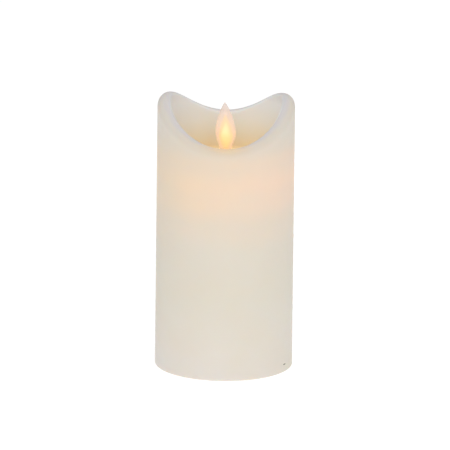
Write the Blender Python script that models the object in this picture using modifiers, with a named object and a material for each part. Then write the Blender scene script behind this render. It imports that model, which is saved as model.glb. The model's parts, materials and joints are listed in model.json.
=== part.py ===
"""Flameless LED pillar candle with a moving flame, as an assembly of separate pieces.

A hollow wax pillar stands on its foot ring. A plastic chassis fills it: a base plate with a hinged
battery door and a slide switch, a holder for two AA cells, and on top of that a swing module whose
coil kicks a magnet under a gimballed flame. Metres, +Z up, origin at the centre of the foot, front at -Y.
"""

import math

import bmesh
import bpy
from mathutils import Matrix, Vector

MM = 0.001
GAP = 0.3 * MM  # clearance between pieces that touch

# Wax pillar
HEIGHT = 149.3 * MM
FOOT_R = 37.5 * MM
RIM_R = 37.2 * MM
FOOT_ROUND = 0.6 * MM
CAVITY_FOOT_R = 32.6 * MM
CAVITY_TOP_R = 32.0 * MM
POOL_TOP = 108 * MM
POOL_UNDER = 104 * MM
POOL_HOLE_R = 13.6 * MM
POOL_FILLET = 3 * MM
RECESS_R = 30.1 * MM
SHOULDER_ROUND = 4.5 * MM
INNER_ROUND = 2.2 * MM
# The rim's drop below the peaks, as waves round the candle counted from the front
RIM_DROP_MEAN = 9.7 * MM
RIM_DROP_FRONT = 4.7 * MM
RIM_DROP_SADDLE = 8.55 * MM
RIM_DROP_SKEW = 1.5 * MM

# Base plate
PLATE_LOW = 0.8 * MM
PLATE_TOP = 3.2 * MM
PLATE_R = 32.2 * MM
SKIRT_TOP = 12 * MM
SKIRT_WALL = 1.8 * MM

# Cells and their holder
CELL_R = 7.1 * MM
CELL_LENGTH = 50.5 * MM
NUB_R = 2.75 * MM
NUB_HEIGHT = 1.2 * MM
CELL_X = 8 * MM
CELL_Y = 3.5 * MM
LEFT_CELL_LOW = 4.2 * MM
RIGHT_CELL_LOW = 6.7 * MM
HOLDER_LOW = PLATE_TOP + GAP
HOLDER_TOP = 59.6 * MM
HOLDER_R = 9.3 * MM
BORE_R = 7.45 * MM
BORE_TOP = 58.2 * MM
EAR_X = 21 * MM
EAR_R = 2.9 * MM
EAR_TOP = 11.5 * MM
PILLAR_X = 13 * MM
PILLAR_R = 2.6 * MM
PILLAR_TOP = 63 * MM
TERMINAL_LOW = 57.5 * MM
TERMINAL_THICK = 0.4 * MM
TAB_Y = CELL_Y + 4.5 * MM
TAB_TOP = 62.4 * MM
SPRING_WIRE_R = 0.35 * MM
SPRING_WIDE_R = 3.2 * MM
SPRING_NARROW_R = 2.1 * MM

# Battery door
DOOR_LOW = 1.1 * MM
DOOR_TOP = 2.9 * MM
DOOR_HALF_X = 17.2 * MM
DOOR_FRONT_Y = -5.7 * MM
DOOR_BACK_Y = 12.5 * MM
HINGE_Y = 14.8 * MM
HINGE_Z = 2 * MM
HINGE_PIN_R = 0.6 * MM
HINGE_PIN_HALF = 15.5 * MM
KNUCKLE_R = 1.3 * MM
KNUCKLE_NEAR_X = 7.5 * MM
KNUCKLE_FAR_X = 12.5 * MM
LATCH_HALF_X = 5 * MM
LATCH_Y = -9.2 * MM

# Slide switch, stored in its ON place at -X
SWITCH_Y = -20.5 * MM
SWITCH_TRAVEL = 4 * MM
SWITCH_LOW = 5.2 * MM
SWITCH_TOP = 9.9 * MM
SWITCH_BOARD_LOW = SWITCH_TOP + GAP
SWITCH_BOARD_TOP = SWITCH_BOARD_LOW + 1.2 * MM
SWITCH_BOSS_X = 9 * MM

# Swing module
CUP_LOW = PILLAR_TOP + GAP
CUP_FLOOR = CUP_LOW + 1.4 * MM
CUP_TOP = 95 * MM
CUP_R = 17 * MM
CUP_INNER_R = 15.6 * MM
NECK_R = 13.2 * MM
NECK_INNER_R = 11.8 * MM
NECK_TOP = POOL_TOP - 0.1 * MM
FLANGE_R = 20 * MM
FLANGE_LOW = 102.2 * MM
FLANGE_TOP = POOL_UNDER - GAP
CLAMP_EAR_R = 2.6 * MM
CLAMP_EAR_REACH = 18.6 * MM
CLAMP_EAR_ANGLES = (30, 150, 270)
BOARD_LOW = 68 * MM
BOARD_TOP = 69.2 * MM
BOARD_R = 15.2 * MM
POST_R = 1.7 * MM
POST_REACH = 13 * MM
POST_ANGLES = (90, 210, 330)
LEAD_SLOT_Y = -10.5 * MM
COIL_LOW = BOARD_TOP + GAP
COIL_TOP = 78.5 * MM
COIL_FLANGE = 1 * MM

# Flame and gimbal
PIVOT_Z = 105.5 * MM
RING_R = 6.9 * MM
RING_INNER_R = 5.3 * MM
RING_HALF = 1.2 * MM
PIN_R = 0.5 * MM
PIN_HOLE_R = PIN_R + GAP
BOSS_R = 3.4 * MM
BOSS_HALF = 2.6 * MM
STEM_R = 2.1 * MM
STEM_TOP = 113.5 * MM
LOWER_STEM_R = 1.6 * MM
MAGNET_R = 3.9 * MM
MAGNET_LOW = 80.6 * MM
MAGNET_TOP = 83.6 * MM
FLAME_LOW = 111.5 * MM
FLAME_NECK_Z = 116.5 * MM
FLAME_BELLY_Z = 129.5 * MM
FLAME_TIP = 146 * MM
FLAME_COLLAR_R = 3.2 * MM
FLAME_NECK_R = 2.6 * MM
FLAME_BELLY_R = 5.65 * MM
FLAME_BORE_R = 2.4 * MM
FLAME_WALL = 0.8 * MM
BEZEL_R = 16.4 * MM
BEZEL_INNER_R = 7.2 * MM

# The LED, in a tube at the front of the neck, and the line it shines along
LED_R = 1.5 * MM
LED_FLANGE_R = 1.9 * MM
LED_LENGTH = 5.3 * MM
LED_TUBE_R = 2.5 * MM
LED_TUBE_BORE_R = LED_R + GAP
LED_TUBE_LOW = 99.5 * MM
LED_TUBE_TOP = 102.5 * MM
LED_FOOT_Y = -10.8 * MM  # where the line crosses LED_TUBE_LOW
LED_LEAN = 0.2  # how far the line goes back for each unit that it rises

# Wires
LEAD_R = 0.55 * MM
ENAMEL_R = 0.22 * MM


# ---------------------------------------------------------------- tools


def clear_scene():
    for obj in list(bpy.data.objects):
        bpy.data.objects.remove(obj)


def new_collection(name):
    group = bpy.data.collections.new(name)
    bpy.context.scene.collection.children.link(group)
    return group


clear_scene()
CANDLE = new_collection("led_candle")
CUTTERS = new_collection("cutters")


def finish(name, colour, roughness, metallic=0.0):
    material = bpy.data.materials.new(name)
    material.use_nodes = True
    shader = material.node_tree.nodes["Principled BSDF"]
    shader.inputs["Base Color"].default_value = (*colour, 1)
    shader.inputs["Roughness"].default_value = roughness
    shader.inputs["Metallic"].default_value = metallic
    return material


WAX = finish("ivory_wax", (0.86, 0.80, 0.68), 0.45)
IVORY = finish("ivory_plastic", (0.87, 0.83, 0.74), 0.40)
BLACK = finish("black_plastic", (0.03, 0.03, 0.03), 0.45)
FLAME = finish("flame_plastic", (1.0, 0.78, 0.48), 0.35)
RESIN = finish("led_resin", (1.0, 0.90, 0.62), 0.10)
STEEL = finish("steel", (0.62, 0.62, 0.64), 0.30, 1.0)
NICKEL = finish("nickel_plate", (0.75, 0.73, 0.68), 0.25, 1.0)
MAGNET = finish("magnet_plate", (0.70, 0.70, 0.72), 0.15, 1.0)
COPPER = finish("copper_wire", (0.72, 0.34, 0.16), 0.35, 1.0)
BOARD = finish("circuit_board", (0.05, 0.26, 0.12), 0.50)
CELL = finish("cell_jacket", (0.10, 0.12, 0.16), 0.35, 0.6)
CERAMIC = finish("chip_ceramic", (0.10, 0.10, 0.11), 0.60)
CAN = finish("capacitor_sleeve", (0.06, 0.08, 0.20), 0.40)
RED = finish("red_insulation", (0.55, 0.03, 0.03), 0.45)
DARK = finish("black_insulation", (0.02, 0.02, 0.02), 0.45)
WHITE = finish("white_insulation", (0.80, 0.80, 0.78), 0.45)


def add_object(name, mesh, material=None, group=CANDLE):
    obj = bpy.data.objects.new(name, mesh)
    group.objects.link(obj)
    if material:
        mesh.materials.append(material)
    if group is CUTTERS:
        obj.hide_render = True
        obj.display_type = "WIRE"
    return obj


def mesh_from(bm, name):
    mesh = bpy.data.meshes.new(name)
    bm.to_mesh(mesh)
    bm.free()
    mesh.shade_smooth()
    mesh.set_sharp_from_angle(angle=math.radians(35))
    return mesh


def block(name, low, high, material=None, group=CANDLE):
    """A box between two corners."""
    low, high = Vector(low), Vector(high)
    bm = bmesh.new()
    bmesh.ops.create_cube(bm, size=1)
    bmesh.ops.scale(bm, vec=high - low, verts=bm.verts)
    obj = add_object(name, mesh_from(bm, name), material, group)
    obj.location = (low + high) / 2
    return obj


def rod(name, radius, start, end, sides=16, material=None, group=CANDLE):
    """A cylinder between two points."""
    start, end = Vector(start), Vector(end)
    along = end - start
    bm = bmesh.new()
    bmesh.ops.create_cone(
        bm, cap_ends=True, segments=sides, radius1=radius, radius2=radius, depth=along.length
    )
    obj = add_object(name, mesh_from(bm, name), material, group)
    obj.location = (start + end) / 2
    obj.rotation_euler = along.to_track_quat("Z", "Y").to_euler()
    return obj


def stadium(name, radius, spread, centre, low, high, sides=24, material=None, group=CANDLE):
    """An upright cylinder pulled apart along X by spread each way, so its ends stay round."""
    bm = bmesh.new()
    bmesh.ops.create_cone(
        bm, cap_ends=True, segments=sides, radius1=radius, radius2=radius, depth=high - low
    )
    bmesh.ops.rotate(bm, matrix=Matrix.Rotation(math.pi / sides, 3, "Z"), verts=bm.verts)
    for vert in bm.verts:
        vert.co.x += math.copysign(spread, vert.co.x)
    obj = add_object(name, mesh_from(bm, name), material, group)
    obj.location = (*centre, (low + high) / 2)
    return obj


def turned(name, outline, steps, material=None, centre=(0, 0), closed=True):
    """A lathe shape about Z. The outline is (radius, height) points that run down the outer side."""
    mesh = bpy.data.meshes.new(name)
    edges = [(i, i + 1) for i in range(len(outline) - 1)]
    if closed:
        edges.append((len(outline) - 1, 0))
    mesh.from_pydata([(r, 0, z) for r, z in outline], edges, [])
    obj = add_object(name, mesh, material)
    obj.location = (*centre, 0)
    screw = obj.modifiers.new("lathe", "SCREW")
    screw.steps = screw.render_steps = steps
    screw.use_merge_vertices = True
    screw.merge_threshold = 0.00001
    screw.use_smooth_shade = True
    return obj


def arc(centre, radius, start_deg, end_deg, steps):
    """(radius, height) points along an arc of an outline."""
    angles = [math.radians(start_deg + (end_deg - start_deg) * i / steps) for i in range(steps + 1)]
    return [(centre[0] + radius * math.cos(a), centre[1] + radius * math.sin(a)) for a in angles]


def combine(obj, other, operation):
    modifier = obj.modifiers.new(operation.lower(), "BOOLEAN")
    modifier.operation = operation
    modifier.solver = "EXACT"
    modifier.object = other


def cut(obj, *cutters):
    for cutter in cutters:
        combine(obj, cutter, "DIFFERENCE")


def join(obj, *others):
    for other in others:
        combine(obj, other, "UNION")


def hole(name, radius, start, end, sides=16):
    return rod(name, radius, start, end, sides, group=CUTTERS)


def smooth_route(points, spacing):
    """Points every spacing along a Catmull-Rom curve through a route's own points."""
    route = [Vector(p) for p in points]
    route = [route[0] * 2 - route[1], *route, route[-1] * 2 - route[-2]]
    out = [route[1]]
    for i in range(1, len(route) - 2):
        a, b, c, d = route[i - 1 : i + 3]
        steps = max(2, round((c - b).length / spacing))
        for k in range(1, steps + 1):
            t = k / steps
            out.append(
                (b * 2 + (c - a) * t + (a * 2 - b * 5 + c * 4 - d) * t**2 + (b * 3 - a - c * 3 + d) * t**3) / 2
            )
    return out


def wire(name, points, radius, material, bevel_resolution=2, group=CANDLE):
    """A round wire along points, with filled ends."""
    curve = bpy.data.curves.new(name, "CURVE")
    curve.dimensions = "3D"
    curve.bevel_depth = radius
    curve.bevel_resolution = bevel_resolution
    curve.use_fill_caps = True
    spline = curve.splines.new("POLY")
    spline.points.add(len(points) - 1)
    for spot, place in zip(spline.points, points):
        spot.co = (*place, 1)
    obj = bpy.data.objects.new(name, curve)
    group.objects.link(obj)
    curve.materials.append(material)
    return obj


def polar(reach, degrees, z):
    a = math.radians(degrees)
    return Vector((reach * math.cos(a), reach * math.sin(a), z))


def axis_empty(name, place):
    empty = bpy.data.objects.new(name, None)
    empty.location = place
    CANDLE.objects.link(empty)
    return empty


def hang_on(empty, *pieces):
    """Parents pieces to the empty on their joint's axis, without moving them."""
    bpy.context.view_layer.update()
    for piece in pieces:
        piece.parent = empty
        piece.matrix_parent_inverse = empty.matrix_world.inverted()


# ---------------------------------------------------------------- wax pillar


def rim_drop(x, y):
    """How far the rim lies below the highest point, at the angle of x, y. The front is at -Y."""
    turn = math.atan2(x, -y)
    return (
        RIM_DROP_MEAN
        + RIM_DROP_FRONT * math.cos(turn)
        + RIM_DROP_SADDLE * math.cos(2 * turn)
        - RIM_DROP_SKEW * math.cos(3 * turn)
    )


def wax_shell():
    """The pillar: turned with a level rim, then the rim is lowered to its melted saddle shape."""
    outline = arc((RIM_R - SHOULDER_ROUND, HEIGHT - SHOULDER_ROUND), SHOULDER_ROUND, 90, 0, 5)
    outline += [
        (RIM_R + (FOOT_R - RIM_R) * (1 - POOL_TOP / HEIGHT), POOL_TOP),
        (FOOT_R, FOOT_ROUND),
        (FOOT_R - FOOT_ROUND, 0),
        (CAVITY_FOOT_R, 0),
        (CAVITY_TOP_R, POOL_UNDER),
        (POOL_HOLE_R, POOL_UNDER),
        (POOL_HOLE_R, POOL_TOP),
    ]
    outline += arc((RECESS_R - POOL_FILLET, POOL_TOP + POOL_FILLET), POOL_FILLET, -90, 0, 3)
    outline += arc((RECESS_R + INNER_ROUND, HEIGHT - INNER_ROUND), INNER_ROUND, 180, 90, 3)[:-1]
    shell = turned("wax_shell", outline, 48, WAX)
    bpy.context.view_layer.update()
    mesh = bpy.data.meshes.new_from_object(shell.evaluated_get(bpy.context.evaluated_depsgraph_get()))
    shell.modifiers.clear()
    shell.data = mesh
    rim_starts = POOL_TOP + 2 * POOL_FILLET
    for vert in mesh.vertices:
        if vert.co.z > rim_starts:
            vert.co.z -= rim_drop(vert.co.x, vert.co.y)
    return shell


# ---------------------------------------------------------------- base, door and switch


def base_plate():
    outline = [
        (PLATE_R, SKIRT_TOP),
        (PLATE_R, PLATE_LOW),
        (0, PLATE_LOW),
        (0, PLATE_TOP),
        (PLATE_R - SKIRT_WALL, PLATE_TOP),
        (PLATE_R - SKIRT_WALL, SKIRT_TOP),
    ]
    plate = turned("base_plate", outline[:], 40, IVORY)
    lug = block(
        "hinge_lug",
        (-HINGE_PIN_HALF - 1.2 * MM, HINGE_Y - 1.5 * MM, PLATE_LOW + 0.5 * MM),
        (HINGE_PIN_HALF + 1.2 * MM, HINGE_Y + 1.6 * MM, PLATE_TOP + 1 * MM),
        group=CUTTERS,
    )
    join(plate, lug)
    for side in (-1, 1):
        boss = rod(
            "switch_boss",
            2.2 * MM,
            (side * SWITCH_BOSS_X, SWITCH_Y, PLATE_TOP - 1 * MM),
            (side * SWITCH_BOSS_X, SWITCH_Y, SWITCH_TOP),
            group=CUTTERS,
        )
        join(plate, boss)
    return plate


def cut_base_plate(plate):
    below, above = PLATE_LOW - 1 * MM, PLATE_TOP + 3 * MM
    door_way = block(
        "door_way",
        (-DOOR_HALF_X - 0.4 * MM, DOOR_FRONT_Y - 0.4 * MM, below),
        (DOOR_HALF_X + 0.4 * MM, DOOR_BACK_Y + 0.6 * MM, above),
        group=CUTTERS,
    )
    latch_way = block(
        "latch_way",
        (-LATCH_HALF_X - 0.6 * MM, LATCH_Y - 0.6 * MM, below),
        (LATCH_HALF_X + 0.6 * MM, DOOR_FRONT_Y, above),
        group=CUTTERS,
    )
    finger_scoop = block(
        "finger_scoop",
        (-LATCH_HALF_X, LATCH_Y - 3.4 * MM, below),
        (LATCH_HALF_X, LATCH_Y, PLATE_LOW + 1 * MM),
        group=CUTTERS,
    )
    switch_way = block(
        "switch_way",
        (-SWITCH_TRAVEL, SWITCH_Y - 1.7 * MM, below),
        (SWITCH_TRAVEL, SWITCH_Y + 1.7 * MM, above),
        group=CUTTERS,
    )
    cut(plate, door_way, latch_way, finger_scoop, switch_way)
    for side in (-1, 1):
        near, far = side * (KNUCKLE_NEAR_X - 0.4 * MM), side * (KNUCKLE_FAR_X + 0.4 * MM)
        knuckle_way = block(
            "knuckle_way",
            (min(near, far), DOOR_BACK_Y, below),
            (max(near, far), HINGE_Y + 1.9 * MM, above),
            group=CUTTERS,
        )
        ear, boss_x = side * EAR_X, side * SWITCH_BOSS_X
        cut(
            plate,
            knuckle_way,
            hole("screw_way", 1.4 * MM, (ear, CELL_Y, below), (ear, CELL_Y, above)),
            hole("screw_seat", 2.5 * MM, (ear, CELL_Y, below), (ear, CELL_Y, PLATE_LOW + 1.5 * MM)),
            hole("pilot", 1.2 * MM, (boss_x, SWITCH_Y, 4.9 * MM), (boss_x, SWITCH_Y, SWITCH_TOP + 1 * MM)),
        )
    pin_way = HINGE_PIN_HALF + GAP
    cut(plate, hole("pin_way", HINGE_PIN_R + GAP, (-pin_way, HINGE_Y, HINGE_Z), (pin_way, HINGE_Y, HINGE_Z), 12))


def battery_door():
    door = block(
        "battery_door",
        (-DOOR_HALF_X, DOOR_FRONT_Y, DOOR_LOW),
        (DOOR_HALF_X, DOOR_BACK_Y, DOOR_TOP),
        IVORY,
    )
    latch = block(
        "latch_tab",
        (-LATCH_HALF_X, LATCH_Y, DOOR_LOW),
        (LATCH_HALF_X, DOOR_FRONT_Y + 1 * MM, DOOR_TOP),
        group=CUTTERS,
    )
    rib = rod(
        "snap_rib",
        0.5 * MM,
        (-LATCH_HALF_X + 1 * MM, LATCH_Y + 0.25 * MM, HINGE_Z),
        (LATCH_HALF_X - 1 * MM, LATCH_Y + 0.25 * MM, HINGE_Z),
        12,
        group=CUTTERS,
    )
    join(door, latch, rib)
    for side in (-1, 1):
        near, far = side * KNUCKLE_NEAR_X, side * KNUCKLE_FAR_X
        web = block(
            "knuckle_web",
            (min(near, far), DOOR_BACK_Y - 1 * MM, DOOR_LOW + 0.1 * MM),
            (max(near, far), HINGE_Y, DOOR_TOP - 0.1 * MM),
            group=CUTTERS,
        )
        knuckle = rod("knuckle", KNUCKLE_R, (near, HINGE_Y, HINGE_Z), (far, HINGE_Y, HINGE_Z), group=CUTTERS)
        join(door, web, knuckle)
    reach = KNUCKLE_FAR_X + 1 * MM
    cut(door, hole("door_pin_way", HINGE_PIN_R + GAP, (-reach, HINGE_Y, HINGE_Z), (reach, HINGE_Y, HINGE_Z), 12))
    return door


def hinge_pin():
    return rod(
        "door_hinge_pin",
        HINGE_PIN_R,
        (-HINGE_PIN_HALF, HINGE_Y, HINGE_Z),
        (HINGE_PIN_HALF, HINGE_Y, HINGE_Z),
        12,
        STEEL,
    )


def bridge_contact():
    """The plate on the door that joins the two cells, with a dimple under the left one's nub."""
    low = DOOR_TOP + GAP
    plate = block(
        "bridge_contact",
        (-14 * MM, CELL_Y - 3.5 * MM, low),
        (14 * MM, CELL_Y + 3.5 * MM, low + TERMINAL_THICK),
        NICKEL,
    )
    dimple = rod(
        "dimple",
        2 * MM,
        (-CELL_X, CELL_Y, low + TERMINAL_THICK / 2),
        (-CELL_X, CELL_Y, LEFT_CELL_LOW - GAP),
        group=CUTTERS,
    )
    join(plate, dimple)
    return plate


def cone_spring(name, x, wide_z, narrow_z):
    """A conical contact spring of two and a half turns between its wide and narrow ends."""
    turns, per_turn = 2.5, 12
    count = round(turns * per_turn)
    points = []
    for i in range(count + 1):
        t = i / count
        radius = SPRING_WIDE_R + (SPRING_NARROW_R - SPRING_WIDE_R) * t
        angle = 2 * math.pi * turns * t
        points.append(
            (
                x + radius * math.cos(angle),
                CELL_Y + radius * math.sin(angle),
                wide_z + (narrow_z - wide_z) * t,
            )
        )
    return wire(name, points, SPRING_WIRE_R, STEEL)


def slide_switch():
    """The switch's metal case on its little board, and the slider whose knob comes out below."""
    case = block("switch_case", (-6 * MM, SWITCH_Y - 3 * MM, SWITCH_LOW), (6 * MM, SWITCH_Y + 3 * MM, SWITCH_TOP), STEEL)
    cut(
        case,
        block(
            "case_room",
            (-5.4 * MM, SWITCH_Y - 2.4 * MM, SWITCH_LOW + 0.6 * MM),
            (5.4 * MM, SWITCH_Y + 2.4 * MM, SWITCH_TOP - 0.7 * MM),
            group=CUTTERS,
        ),
        block(
            "case_slot",
            (-SWITCH_TRAVEL, SWITCH_Y - 1.7 * MM, SWITCH_LOW - 1 * MM),
            (SWITCH_TRAVEL, SWITCH_Y + 1.7 * MM, SWITCH_LOW + 1 * MM),
            group=CUTTERS,
        ),
    )
    rest = -SWITCH_TRAVEL / 2
    slider = block(
        "switch_slider",
        (rest - 1.5 * MM, SWITCH_Y - 1.3 * MM, 0.5 * MM),
        (rest + 1.5 * MM, SWITCH_Y + 1.3 * MM, SWITCH_LOW + 1.5 * MM),
        BLACK,
    )
    shoe = block(
        "slider_shoe",
        (rest - 3 * MM, SWITCH_Y - 2 * MM, SWITCH_LOW + 0.9 * MM),
        (rest + 3 * MM, SWITCH_Y + 2 * MM, SWITCH_TOP - 1 * MM),
        group=CUTTERS,
    )
    join(slider, shoe)
    board = block(
        "switch_board",
        (-11.5 * MM, SWITCH_Y - 4 * MM, SWITCH_BOARD_LOW),
        (11.5 * MM, SWITCH_Y + 4 * MM, SWITCH_BOARD_TOP),
        BOARD,
    )
    for side in (-1, 1):
        x = side * SWITCH_BOSS_X
        cut(board, hole("board_way", 1.2 * MM, (x, SWITCH_Y, SWITCH_TOP), (x, SWITCH_Y, SWITCH_BOARD_TOP + 1 * MM)))
    return slider


def screws(name, places, head_z, tip_z, head_r=1.9 * MM, shank_r=0.9 * MM):
    """Pan-head screws with their heads' undersides at head_z, pointing up or down to tip_z."""
    length = abs(head_z - tip_z)
    outline = [(0, 1.2 * MM), (head_r * 0.7, 1.2 * MM), (head_r, 0.6 * MM), (head_r, 0)]
    outline += [(shank_r, 0), (shank_r, shank_r - length), (0, -length)]
    for number, place in enumerate(places, 1):
        screw = turned(f"{name}_{number}", outline, 12, STEEL, closed=False)
        screw.location = (*place, head_z)
        if tip_z > head_z:
            screw.rotation_euler = (math.pi, 0, 0)


# ---------------------------------------------------------------- cells and holder


def battery_holder():
    holder = stadium("battery_holder", HOLDER_R, CELL_X, (0, CELL_Y), HOLDER_LOW, HOLDER_TOP, 28, IVORY)
    for side in (-1, 1):
        ear_x = side * EAR_X
        ear = rod("ear", EAR_R, (ear_x, CELL_Y, HOLDER_LOW), (ear_x, CELL_Y, EAR_TOP), group=CUTTERS)
        web = block(
            "ear_web",
            (min(side * 16.6 * MM, ear_x), CELL_Y - 1.2 * MM, HOLDER_LOW + 0.2 * MM),
            (max(side * 16.6 * MM, ear_x), CELL_Y + 1.2 * MM, EAR_TOP - 0.5 * MM),
            group=CUTTERS,
        )
        pillar = rod(
            "pillar",
            PILLAR_R,
            (side * PILLAR_X, CELL_Y, HOLDER_TOP - 0.6 * MM),
            (side * PILLAR_X, CELL_Y, PILLAR_TOP),
            group=CUTTERS,
        )
        join(holder, ear, web, pillar)
    for side in (-1, 1):
        x, ear_x, pillar_x = side * CELL_X, side * EAR_X, side * PILLAR_X
        cut(
            holder,
            hole("bore", BORE_R, (x, CELL_Y, 0), (x, CELL_Y, BORE_TOP), 28),
            hole("ear_pilot", 1.3 * MM, (ear_x, CELL_Y, 0), (ear_x, CELL_Y, EAR_TOP - 0.8 * MM)),
            hole("pillar_pilot", 1.2 * MM, (pillar_x, CELL_Y, 59.9 * MM), (pillar_x, CELL_Y, PILLAR_TOP + 1 * MM)),
            block(
                "tab_way",
                (x - 1.4 * MM, TAB_Y - 0.6 * MM, BORE_TOP - 1 * MM),
                (x + 1.4 * MM, TAB_Y + 0.6 * MM, HOLDER_TOP + 1 * MM),
                group=CUTTERS,
            ),
        )
    bridge_way = block(
        "bridge_way",
        (-9 * MM, CELL_Y - 4.2 * MM, 0),
        (9 * MM, CELL_Y + 4.2 * MM, HOLDER_LOW + 1.1 * MM),
        group=CUTTERS,
    )
    cut(holder, bridge_way)
    return holder


def battery(name, x, low, nub_up):
    """An AA cell: a plain can with its nub at the positive end."""
    can_low = low if nub_up else low + NUB_HEIGHT
    can_top = can_low + CELL_LENGTH - NUB_HEIGHT
    edge = 0.6 * MM
    can = [(CELL_R - edge, can_top), (CELL_R, can_top - edge), (CELL_R, can_low + edge), (CELL_R - edge, can_low)]
    if nub_up:
        nub = can_top + NUB_HEIGHT
        outline = [(0, nub), (NUB_R, nub), (NUB_R, can_top), *can, (0, can_low)]
    else:
        outline = [(0, can_top), *can, (NUB_R, can_low), (NUB_R, low), (0, low)]
    return turned(name, outline, 24, CELL, (x, CELL_Y), closed=False)


def terminal(name, x):
    """A flat contact at the top of a bore, with its solder tab standing up through the holder."""
    plate = block(
        name,
        (x - 3.6 * MM, CELL_Y - 3.6 * MM, TERMINAL_LOW),
        (x + 3.6 * MM, TAB_Y + 0.2 * MM, TERMINAL_LOW + TERMINAL_THICK),
        NICKEL,
    )
    tab = block(
        "tab",
        (x - 1 * MM, TAB_Y - 0.2 * MM, TERMINAL_LOW + 0.1 * MM),
        (x + 1 * MM, TAB_Y + 0.19 * MM, TAB_TOP),
        group=CUTTERS,
    )
    join(plate, tab)
    return plate


# ---------------------------------------------------------------- swing module


def module_cup():
    outline = [
        (0, CUP_FLOOR),
        (CUP_INNER_R, CUP_FLOOR),
        (CUP_INNER_R, CUP_TOP),
        (CUP_R, CUP_TOP),
        (CUP_R, CUP_LOW),
        (0, CUP_LOW),
    ]
    cup = turned("module_cup", outline, 32, BLACK, closed=False)
    for degrees in CLAMP_EAR_ANGLES:
        low, high = polar(CLAMP_EAR_REACH, degrees, CUP_TOP - 8 * MM), polar(CLAMP_EAR_REACH, degrees, CUP_TOP)
        join(cup, rod("clamp_ear", CLAMP_EAR_R, low, high, group=CUTTERS))
        cut(cup, hole("clamp_pilot", 1.2 * MM, low + Vector((0, 0, 1.6 * MM)), high + Vector((0, 0, MM))))
    for degrees in POST_ANGLES:
        low, high = polar(POST_REACH, degrees, CUP_FLOOR - 0.5 * MM), polar(POST_REACH, degrees, BOARD_LOW - GAP)
        join(cup, rod("post", POST_R, low, high, 12, group=CUTTERS))
        cut(cup, hole("post_pilot", 1 * MM, low + Vector((0, 0, 1 * MM)), high + Vector((0, 0, MM)), 12))
    for side in (-1, 1):
        x = side * PILLAR_X
        cut(cup, hole("mount_way", 1.2 * MM, (x, CELL_Y, CUP_LOW - MM), (x, CELL_Y, CUP_FLOOR + MM)))
    lead_slot = stadium(
        "lead_slot", 1.2 * MM, 1.4 * MM, (0, LEAD_SLOT_Y), CUP_LOW - MM, CUP_FLOOR + MM, 16, group=CUTTERS
    )
    cut(cup, lead_slot)
    return cup


def led_line(z):
    """The point at height z on the line that the LED shines along."""
    return Vector((0, LED_FOOT_Y + LED_LEAN * (z - LED_TUBE_LOW), z))


def module_cap():
    """The funnel on the cup: a flange that carries the wax floor, and the neck that holds the gimbal."""
    outline = [
        (NECK_R, NECK_TOP),
        (NECK_R, FLANGE_TOP),
        (FLANGE_R, FLANGE_TOP),
        (FLANGE_R, FLANGE_LOW),
        (NECK_R + 0.9 * MM, FLANGE_LOW),
        (CUP_R, CUP_TOP + 2 * MM),
        (CUP_R, CUP_TOP + GAP),
        (CUP_INNER_R, CUP_TOP + GAP),
        (CUP_INNER_R, CUP_TOP + 1.4 * MM),
        (NECK_INNER_R, CUP_TOP + 6 * MM),
        (NECK_INNER_R, NECK_TOP),
    ]
    cap = turned("module_cap", outline, 32, BLACK)
    for degrees in CLAMP_EAR_ANGLES:
        low = polar(CLAMP_EAR_REACH, degrees, CUP_TOP + GAP)
        high = polar(CLAMP_EAR_REACH, degrees, CUP_TOP + 2.3 * MM)
        lift = Vector((0, 0, MM))
        join(cap, rod("cap_ear", CLAMP_EAR_R, low, high, group=CUTTERS))
        cut(cap, hole("cap_ear_way", 1.2 * MM, low - lift, high + lift))
    join(cap, rod("led_tube", LED_TUBE_R, led_line(LED_TUBE_LOW), led_line(LED_TUBE_TOP), group=CUTTERS))
    cut(cap, hole("led_bore", LED_TUBE_BORE_R, led_line(LED_TUBE_LOW - MM), led_line(LED_TUBE_TOP + MM)))
    for side in (-1, 1):
        inner, outer = side * (NECK_INNER_R - MM), side * (NECK_R + MM)
        cut(cap, hole("pin_seat", PIN_HOLE_R, (inner, 0, PIVOT_Z), (outer, 0, PIVOT_Z), 12))
    return cap


def driver_board():
    board = rod("driver_board", BOARD_R, (0, 0, BOARD_LOW), (0, 0, BOARD_TOP), 32, BOARD)
    for degrees in POST_ANGLES:
        low, high = polar(POST_REACH, degrees, BOARD_LOW - MM), polar(POST_REACH, degrees, BOARD_TOP + MM)
        cut(board, hole("board_screw_way", 1 * MM, low, high, 12))
    return board


def coil():
    """The drive coil: a spool and the copper wound on it."""
    hub, spool, bore = 4.2 * MM, 8 * MM, 2.2 * MM
    low, high = COIL_LOW + COIL_FLANGE, COIL_TOP - COIL_FLANGE
    outline = [
        (spool, COIL_TOP),
        (spool, high),
        (hub, high),
        (hub, low),
        (spool, low),
        (spool, COIL_LOW),
        (bore, COIL_LOW),
        (bore, COIL_TOP),
    ]
    turned("coil_bobbin", outline, 24, BLACK)
    inner, outer = hub + GAP, spool - 0.5 * MM
    winding = [(outer, high - GAP), (outer, low + GAP), (inner, low + GAP), (inner, high - GAP)]
    turned("coil_winding", winding, 24, COPPER)


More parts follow.
